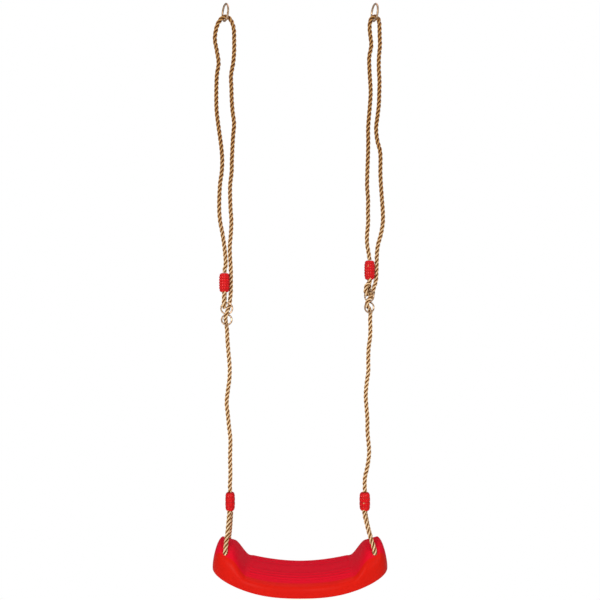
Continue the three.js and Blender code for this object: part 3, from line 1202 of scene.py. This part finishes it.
@dataclass
class CrimpFerrule:
    """A crimped plastic barrel with a grid of pillow bumps pressed into it."""

    node: str
    body: str
    material: bpy.types.Material
    rows: int
    columns: int
    wide_turn: float
    pin: tuple[float, float] | None = None
    # Grooves run round the barrel and flutes down it, these as shares of the grooves'
    # depth and of a column's width.
    depth: float = 1.3 * MM
    groove_width: float = 2.4 * MM
    flute_share: float = 0.8
    flute_width: float = 0.16
    oval_power: float = 2.4
    profile_power: float = 5.0
    taper: float = 0.07
    # Ends with no bumps: the height left out, and the share of the width it starts at.
    plain_end: float = 0.6 * MM
    plain_below: float = 0.9
    pin_radius: float = 1.7 * MM
    pin_depth: float = 0.9 * MM

    def build(self) -> None:
        """Build the ferrule.

        The section is a rounded oval, r = ((|cos|/a)^n + (|sin|/b)^n)^(-1/n), carried
        along a squircle profile that closes at both ends, less grooves that are bell
        curves round it at each row and along it at each column.
        """
        low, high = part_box(self.node)
        centre = (low + high) / 2
        half = (high.z - low.z) / 2
        wide = max(high.x - low.x, high.y - low.y) / 2
        narrow = min(high.x - low.x, high.y - low.y) / 2
        bend = np.linspace(-math.pi / 2, math.pi / 2, 190)
        ring = np.abs(np.cos(bend)) ** (2 / self.profile_power)
        level = half * np.sign(bend) * np.abs(np.sin(bend)) ** (2 / self.profile_power)
        # Even the stations out along the profile's own length.
        steps = np.hypot(np.diff(ring * wide), np.diff(level))
        length = np.concatenate([[0], np.cumsum(steps)])
        even = np.linspace(0, length[-1], 110)
        ring = np.interp(even, length, ring)[:, None]
        level = np.interp(even, length, level)[:, None]
        a = np.linspace(0, TAU, 120, endpoint=False)[None, :]
        n = self.oval_power
        oval = ((np.abs(np.cos(a)) / wide) ** n + (np.abs(np.sin(a)) / narrow) ** n) ** (-1 / n)
        pitch = 2 * (half - self.plain_end) / self.rows
        to_row = (level / pitch + 0.5 * (self.rows % 2) + 0.5) % 1 - 0.5
        stagger = 0.0 if self.wide_turn == 0 else 0.5
        to_column = (a * self.columns / TAU + stagger) % 1 - 0.5
        groove = np.exp(-((to_row * pitch / (self.groove_width / 2)) ** 2))
        flute = self.flute_share * np.exp(-((to_column / self.flute_width) ** 2))
        pressed = np.maximum(groove, flute)
        waist = 1 - self.taper * np.abs(level / half) ** 4
        radius = (oval * waist - self.depth * pressed * (ring > self.plain_below)) * ring
        turned = a + self.wide_turn
        pit = np.zeros_like(radius)
        if self.pin is not None:
            across, up = (value * MM for value in self.pin)
            away = np.hypot(radius * np.cos(turned) - across, level - up)
            pit = np.exp(-((away / self.pin_radius) ** 4)) * (np.sin(turned) < 0)
            radius = radius - self.pin_depth * pit
        x, y = centre.x + radius * np.cos(turned), centre.y + radius * np.sin(turned)
        grid = np.stack([x, y, centre.z + level + 0 * a], axis=-1)
        attributes = {"grained": pressed, "sunk": pressed, "pin": pit}
        piece = mesh_from_grid(f"crimped_{self.node}", grid, attributes=attributes)
        weld(piece)
        dress(piece, self.material, self.body, self.node)


@dataclass
class SeatShell:
    """The moulded seat: an arched shell with raised ears, open beneath."""

    material: bpy.types.Material
    half_length: float = 215 * MM
    half_depth: float = 86.5 * MM
    waist: float = 4.5 * MM
    waist_run: float = 110 * MM
    bottom: float = -1435.6 * MM
    arc: float = 504 * MM
    height: float = 36.5 * MM
    ear_rise: float = 39 * MM
    ear_foot: float = 128 * MM
    ear_run: float = 37 * MM
    ear_crest: float = 193 * MM
    ear_fall: float = 1.6
    wall: float = 3.8 * MM
    # Powers of the outline from above and of the cross-section behind, in front and on
    # the ears; a higher one is squarer.
    outline: float = 2.9
    rear: float = 6.0
    front: float = 5.0
    ear: float = 4.5
    # Shares of the height lost at the edge, on the sitting surface and on the ears.
    rear_drop: tuple[float, float] = (0.055, 0.185)
    front_drop: tuple[float, float] = (0.165, 0.24)
    # The anti-slip ribs: their wave, how much of it stays flat, and how far they run.
    tread_pitch: float = 12.5 * MM
    tread_height: float = 1.3 * MM
    tread_gap: float = 0.35
    tread_flank: float = 0.35
    tread_reach: float = 124 * MM
    tread_front: float = 62 * MM
    tread_rear: float = 72 * MM
    tread_fade: float = 3 * MM
    top_share: float = 0.3
    # Where the texture of the top, with its painted reflection colour, ends in front, as a
    # share of the half depth.
    shoulder: float = 0.80
    shoulder_fade: float = 0.06
    hole_radius: float = 6.5 * MM
    hole_x: float = 180 * MM
    hole_y: float = 45 * MM
    hole_z: tuple[float, float] = (-1.30, -1.39)
    # Stiffening ribs: half their thickness, how far up from the edge they start, how far
    # they run into the shell, and where they stand.
    rib_half: float = 1.5 * MM
    rib_back: float = 12 * MM
    rib_set_in: float = 1.5 * MM
    rib_least: float = 0.5 * MM
    long_rib_y: tuple[float, ...] = (-30 * MM, 30 * MM)
    long_rib_reach: float = 145 * MM
    cross_rib_x: tuple[float, ...] = tuple(x * MM for x in (-138, -92, -46, 0, 46, 92, 138))

    def bottom_edge(self, x: Array) -> Array:
        """Height of the bottom edge: an arc of one radius."""
        return self.bottom + self.arc - np.sqrt(self.arc**2 - x**2)

    def ear_blend(self, x: Array) -> Array:
        """0 along the sitting surface, 1 on the ears."""
        return smoothstep((np.abs(x) - self.ear_foot) / self.ear_run)

    def section(self, x: Array, inset: float) -> tuple[Array, Array]:
        """Half depth and height of the cross-section at x.

        The outline is a superellipse, (1 - |x/a|^n)^(1/n), drawn in at the waist; the
        height rises to the ears and falls round their ends.

        Args:
            x: Places along the seat.
            inset: How far inside the outer skin.

        Returns:
            The half depths and the heights.
        """
        a = self.half_length - inset
        drawn = self.waist * (1 - smoothstep(np.abs(x) / self.waist_run))
        ends = np.maximum(0, 1 - np.abs(x / a) ** self.outline) ** (1 / self.outline)
        beyond = np.abs(x) - (self.ear_crest - inset)
        over = np.clip(beyond / (self.half_length - self.ear_crest), 0, 1)
        fall = np.maximum(0, 1 - over**self.ear_fall) ** (1 / self.ear_fall)
        depth = (self.half_depth - drawn - inset) * ends
        return depth, (self.height + self.ear_rise * self.ear_blend(x) - inset) * fall

    def squareness(self, x: Array, behind: Array) -> tuple[Array, Array]:
        """Power of the cross-section and how far its surface has sunk at the edge.

        Args:
            x: Places along the seat.
            behind: Whether each place is behind the middle.

        Returns:
            The powers and the shares of the height.
        """
        blend = self.ear_blend(x)
        power = np.where(behind, self.rear, self.front) * (1 - blend) + self.ear * blend
        flat, ear = (
            np.where(behind, rear, front) for rear, front in zip(self.rear_drop, self.front_drop)
        )
        return power, flat * (1 - blend) + ear * blend

    def skin(self, along: Array, turn: Array, inset: float) -> Array:
        """Points of one skin.

        With p the power and q the share sunk at the edge, y = b |cos|^(2/p) and
        z = edge + h (1 - q (y/b)^2) |sin|^(2/p).

        Args:
            along: Stations from -1 to 1.
            turn: Angles from 0 behind, over the top, to pi in front.
            inset: How far inside the outer skin.

        Returns:
            The grid of points, stations by angles.
        """
        x = ((self.half_length - inset) * np.sin(math.pi / 2 * along))[:, None]
        depth, height = self.section(x, inset)
        c, s = np.cos(turn)[None, :], np.sin(turn)[None, :]
        power, sunk = self.squareness(x, c > 0)
        across = np.abs(c) ** (2 / power)
        y = depth * np.sign(c) * across
        edge = self.bottom_edge(x) + self.wall / 2 * (height > 0)
        z = edge + height * (1 - sunk * across**2) * np.abs(s) ** (2 / power)
        return np.stack([np.broadcast_to(x, y.shape), y, z], axis=-1)

    def treads(self, x: Array, y: Array) -> Array:
        """Height of the anti-slip ribs: flat-topped waves across the sitting surface.

        Args:
            x: Places along the seat.
            y: Places across it.

        Returns:
            The heights.
        """
        wave = 0.5 + 0.5 * np.cos(TAU * y / self.tread_pitch)
        rib = smoothstep((wave - self.tread_gap) / self.tread_flank)
        within = smoothstep((self.tread_reach - np.abs(x)) / self.tread_fade)
        behind_front = smoothstep((y + self.tread_front) / self.tread_fade)
        across = behind_front * smoothstep((self.tread_rear - y) / self.tread_fade)
        return self.tread_height * rib * within * across

    def build(self) -> None:
        """Build the shell, its ribs and its rope holes."""
        along = np.linspace(-1, 1, 281)
        turn = math.pi * np.linspace(0, 1, 190)
        outer = self.skin(along, turn, 0.0)
        top = np.sin(turn)[None, :] > self.top_share
        outer[..., 2] += self.treads(outer[..., 0], outer[..., 1]) * top
        inner = self.skin(along, math.pi * np.linspace(1, 0, 90), self.wall)
        bead = np.linspace(0, math.pi, 7)[1:-1]

        def rim(start: Array, end: Array) -> Array:
            """Round an edge off beneath, from one skin to the other.

            Args:
                start: The edge that it leaves.
                end: The edge that it reaches.

            Returns:
                The half round, stations by steps.
            """
            middle, arm = (start + end) / 2, (start - end) / 2
            drop = np.linalg.norm(arm, axis=1)[:, None] * np.array([0.0, 0.0, -1.0])
            return np.stack([middle + arm * math.cos(b) + drop * math.sin(b) for b in bead], axis=1)

        front_rim, rear_rim = rim(outer[:, -1], inner[:, 0]), rim(inner[:, -1], outer[:, 0])
        grid = np.concatenate([outer, front_rim, inner, rear_rim], axis=1)
        rows, columns = grid.shape[:2]
        flat = np.zeros((rows, columns))
        x, y = grid[..., 0], grid[..., 1]
        forward = -y[:, : len(turn)] / np.maximum(self.section(x[:, :1], 0.0)[0], 1 * MM)
        past = smoothstep((forward - self.shoulder) / self.shoulder_fade)
        flat[:, : len(turn)] = 1 - past
        # The grained mask also places the painted reflection colour of the top.
        piece = mesh_from_grid("moulded_seat", grid, attributes={"grained": flat})
        weld(piece, 2e-6)
        self.drill(piece)
        self.stiffen(piece)
        piece.data.shade_smooth()
        piece.data.set_sharp_from_angle(angle=math.radians(50))
        piece.data.materials.clear()
        dress(piece, self.material, "seat", "seat_shell")

    def drill(self, piece: bpy.types.Object) -> None:
        """Cut the four rope holes.

        Args:
            piece: The seat.
        """
        a = np.linspace(0, TAU, 48, endpoint=False)
        for sx in (-1, 1):
            for sy in (-1, 1):
                x = sx * self.hole_x + self.hole_radius * np.cos(a)
                y = sy * self.hole_y + self.hole_radius * np.sin(a)
                grid = np.stack([np.column_stack([x, y, np.full(len(a), z)]) for z in self.hole_z])
                drill = mesh_from_grid("drill", grid, caps=True)
                cut = piece.modifiers.new("hole", "BOOLEAN")
                cut.operation, cut.solver, cut.object = "DIFFERENCE", "EXACT", drill
                apply_modifiers(piece)
                bpy.data.objects.remove(drill)

    def stiffen(self, piece: bpy.types.Object) -> None:
        """Join thin stiffening ribs under the seat, set slightly into the shell.

        Args:
            piece: The seat.
        """
        plates: list[bpy.types.Object] = []
        for y0 in self.long_rib_y:
            x = np.linspace(-self.long_rib_reach, self.long_rib_reach, 90)
            plates.append(self.plate(x, np.full_like(x, y0), np.array([0.0, self.rib_half, 0.0])))
        for x0 in self.cross_rib_x:
            reach = self.section(np.array([x0]), self.wall)[0][0] - 1 * MM
            y = np.linspace(-reach, reach, 70)
            plates.append(self.plate(np.full_like(y, x0), y, np.array([self.rib_half, 0.0, 0.0])))
        chosen = {"active_object": piece, "selected_editable_objects": [piece, *plates]}
        with bpy.context.temp_override(**chosen):
            bpy.ops.object.join()

    def plate(self, x: Array, y: Array, half_width: Array) -> bpy.types.Object:
        """One rib plate standing from just above the bottom edge into the shell.

        Args:
            x: Places along the seat.
            y: Places across it.
            half_width: Half the plate's thickness as a vector.

        Returns:
            The plate.
        """
        depth, height = self.section(x, self.wall)
        power, sunk = self.squareness(x, y > 0)
        across = np.minimum(np.abs(y / np.maximum(depth, 1e-6)), 1)
        arch = (1 - sunk * across**2) * (1 - across**power) ** (1 / power)
        edge = self.bottom_edge(x)
        low = edge + self.rib_back
        roof = edge + self.wall / 2 + height * arch + self.rib_set_in
        high = np.maximum(low + self.rib_least, roof)
        corners = [
            np.stack([x, y, z], axis=1) + sign * half_width
            for z, sign in ((low, -1), (low, 1), (high, 1), (high, -1))
        ]
        grid = np.stack(corners, axis=1)
        smooth = {"grained": np.zeros(grid.shape[:2])}
        return mesh_from_grid("plate", grid, caps=True, attributes=smooth)


# ---------------------------------------------------------------- camera and light


@dataclass
class Studio:
    """The camera, the pale floor and soft light."""

    camera_at: Point = (0.0, -1.75, -0.7296)
    lens: float = 42.4
    sensor: float = 36.0
    floor_z: float = -2.05
    floor_half: float = 14.0
    paper: Colour = (0.8, 0.8, 0.8, 1.0)
    white: Colour = (1.0, 1.0, 1.0, 1.0)
    room_colour: Colour = (0.93, 0.95, 1.0, 1.0)
    room_light: float = 0.33
    # Where the lights point.
    aim: Point = (0.0, 0.0, -0.9)

    def place_camera(self) -> None:
        """Put the camera level with the middle of the ropes, looking along +Y."""
        data = bpy.data.cameras.new("camera")
        data.lens, data.sensor_width = self.lens, self.sensor
        data.clip_start, data.clip_end = 0.05, 60.0
        camera = bpy.data.objects.new("camera", data)
        camera.location = self.camera_at
        camera.rotation_euler = (math.pi / 2, 0.0, 0.0)
        bpy.context.scene.collection.objects.link(camera)
        bpy.context.scene.camera = camera

    def light(
        self, name: str, place: Point, size: float, watts: float, colour: tuple[float, float, float]
    ) -> None:
        """Add a square soft light aimed at the middle of the object.

        Args:
            name: Its name.
            place: Where it stands.
            size: Its side.
            watts: Its power.
            colour: Its colour.
        """
        data = bpy.data.lights.new(name, "AREA")
        data.shape, data.size, data.energy, data.color = "SQUARE", size, watts, colour
        lamp = bpy.data.objects.new(name, data)
        lamp.location = place
        beam = Vector(self.aim) - Vector(place)
        lamp.rotation_euler = beam.to_track_quat("-Z", "Y").to_euler()
        bpy.context.scene.collection.objects.link(lamp)

    def build(self) -> None:
        """Add the floor, the lights and the white surround."""
        h, z = self.floor_half, self.floor_z
        mesh = bpy.data.meshes.new("studio_floor")
        mesh.from_pydata([(-h, -h, z), (h, -h, z), (h, h, z), (-h, h, z)], [], [(0, 1, 2, 3)])
        floor = bpy.data.objects.new("studio_floor", mesh)
        bpy.context.scene.collection.objects.link(floor)
        material = bpy.data.materials.new("floor_paper")
        material.use_nodes = True
        n = Nodes(material.node_tree)
        paper = n.add("ShaderNodeBsdfDiffuse")
        paper.inputs[0].default_value = self.paper
        glow = n.add("ShaderNodeEmission")
        glow.inputs[0].default_value = self.white
        seen = n.add("ShaderNodeMixShader")
        n.join(n.add("ShaderNodeLightPath").outputs["Is Camera Ray"], seen.inputs[0])
        n.join(paper.outputs[0], seen.inputs[1])
        n.join(glow.outputs[0], seen.inputs[2])
        n.join(seen.outputs[0], n.add("ShaderNodeOutputMaterial").inputs[0])
        mesh.materials.append(material)
        world = bpy.data.worlds.new("surround")
        world.use_nodes = True
        bpy.context.scene.world = world
        n = Nodes(world.node_tree)
        seen = n.add("ShaderNodeLightPath").outputs["Is Camera Ray"]
        backdrop, room = n.add("ShaderNodeBackground"), n.add("ShaderNodeBackground")
        backdrop.inputs[0].default_value = self.white
        room.inputs[0].default_value = self.room_colour
        room.inputs[1].default_value = self.room_light
        both = n.add("ShaderNodeMixShader")
        n.join(seen, both.inputs[0])
        n.join(room.outputs[0], both.inputs[1])
        n.join(backdrop.outputs[0], both.inputs[2])
        n.join(both.outputs[0], n.add("ShaderNodeOutputWorld").inputs[0])
        self.light("key", (-1.1, -3.0, -0.45), 1.4, 68.0, (1.0, 0.95, 0.86))
        self.light("top", (0.3, -0.1, 1.6), 1.6, 20.0, (1.0, 0.86, 0.98))
        self.light("fill", (2.2, -1.8, -0.4), 1.6, 18.0, (1.0, 0.96, 0.92))
        self.light("rim", (0.4, 2.0, 1.4), 1.4, 9.0, (0.86, 0.86, 1.0))
        view = bpy.context.scene.view_settings
        view.view_transform, view.look = "Standard", "None"


EIGHTS: dict[str, EightPlace] = {
    "left": EightPlace((-181.5, 0.0, -764.1), 0.0, -6.0, -187.2, -710.8),
    "right": EightPlace((171.5, 0.0, -733.8), math.radians(-40), -5.0, 172.3, -679.8),
}
# How far each ring is turned about the vertical from facing sideways.
RING_TURNS: dict[str, float] = {"left": math.radians(26.5), "right": math.radians(16.5)}
# Where the crimping pins went in, across and up from each ferrule's centre, in millimetres.
UPPER_PINS: dict[str, tuple[float, float] | None] = {"left": None, "right": (-4.5, 10.0)}
LOWER_PINS: dict[str, tuple[float, float] | None] = {"left": None, "right": (-3.5, -1.5)}
# How each lower ferrule's wide way is turned from the plane of the ropes.
LOWER_TURNS: dict[str, float] = {"left": math.pi / 2, "right": 0.0}
# Rows and columns of bumps.
UPPER_GRID, LOWER_GRID = (7, 10), (4, 10)


def main() -> None:
    """Build the scene: camera, ropes, hardware, seat, then light."""
    logging.basicConfig(level=logging.INFO, format="%(message)s")
    studio = Studio()
    studio.place_camera()
    grain, yarns = grain_group(), yarn_group()
    rope = LaidRope("golden_laid_rope", Slot.ROPE).build(yarns)
    steel = PlatedSteel("plated_wire", Slot.STEEL).build(grain)
    crimp = MouldedPlastic(
        "glossy_ferrule",
        Slot.FERRULE,
        colour=(0.74, 0.005, 0.007, 1.0),
        deep=(0.60, 0.004, 0.006, 1.0),
        smooth=0.2,
        grained=0.55,
        grain_depth=0.00005,
        specular=0.22,
    ).build(grain)
    # The seat's top is painted a lighter, bluer red as reflection.
    seat = MouldedPlastic("satin_seat", Slot.SEAT, paints_top_reflection=True).build(grain)
    profile = LaidProfile()
    for side, route in ROUTES.items():
        ropes = SideRopes(side, route, profile, rope)
        ropes.build_main()
        ropes.build_loop()
        place = EIGHTS[side]
        RopeEye(side, place, ropes).build()
        TopRing(side, route.ring_x * MM, RING_TURNS[side], steel).build()
        FigureEight(side, metres(place.centre)[0], place.turn, steel).build()
        upper, lower = f"upper_ferrule_{side}", f"lower_ferrule_{side}"
        pins = UPPER_PINS[side], LOWER_PINS[side]
        CrimpFerrule(upper, f"{side}_adjuster", crimp, *UPPER_GRID, 0.0, pins[0]).build()
        CrimpFerrule(lower, f"{side}_run", crimp, *LOWER_GRID, LOWER_TURNS[side], pins[1]).build()
    SeatShell(seat).build()
    studio.build()


if __name__ == "__main__":
    main()
